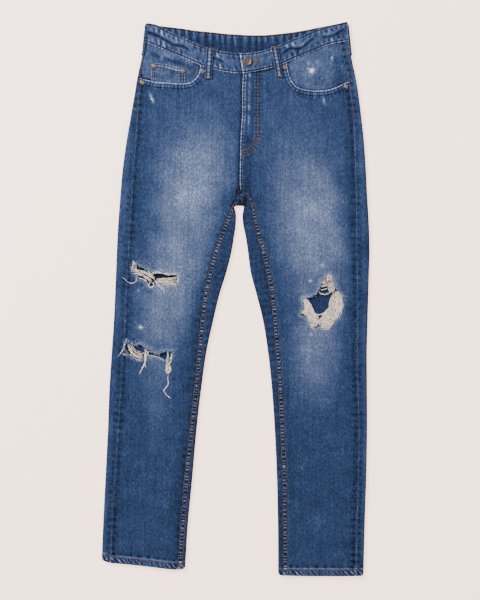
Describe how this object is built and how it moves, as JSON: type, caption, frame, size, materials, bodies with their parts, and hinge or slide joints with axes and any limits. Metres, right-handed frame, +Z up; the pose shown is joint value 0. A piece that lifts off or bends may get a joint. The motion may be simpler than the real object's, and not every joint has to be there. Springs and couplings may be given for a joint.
{
  "type": "ripped jeans",
  "caption": "Ripped jeans laid flat, front side up: straight legs, pockets, fly button, belt loops, and torn holes with loose threads at the knees.",
  "frame": {"origin": "middle of the laid-out garment on the surface it lies on", "axes": "+X across the garment to the right of the picture, +Y up the legs towards the waistband, +Z up out of the surface, front side of the jeans up"},
  "size_m": [0.5097, 1.0544, 0.0142],
  "materials": {
    "denim": "matt indigo twill, worn dark at the sides",
    "denim_faded": "matt indigo twill, faded on the thighs and knees",
    "thread": "undyed cotton weft threads, frayed",
    "brass": "aged, satin"
  },
  "bodies": {
    "root": {"front_panel_left": "denim_faded", "front_panel_right": "denim_faded", "back_panel_left": "denim", "back_panel_right": "denim", "back_yoke_left": "denim", "back_yoke_right": "denim", "back_pocket_left": "denim", "back_pocket_right": "denim", "waistband": "denim", "belt_loop_front_left": "denim", "belt_loop_front_right": "denim", "belt_loop_side_left": "denim", "belt_loop_side_right": "denim", "belt_loop_back": "denim", "pocket_facing_left": "denim_faded", "pocket_facing_right": "denim_faded", "coin_pocket": "denim_faded", "button": "brass", "rivet_coin_inner": "brass", "rivet_coin_outer": "brass", "rivet_left_inner": "brass", "rivet_left_outer": "brass", "rivet_right_inner": "brass", "rivet_right_outer": "brass", "rip_threads_left_upper": "thread", "rip_threads_left_lower": "thread", "rip_threads_left_hang_a": "thread", "rip_threads_left_hang_b": "thread", "rip_threads_right_outer": "thread", "rip_threads_right_inner": "thread", "rip_threads_right_top": "thread"}
  },
  "joints": []
}
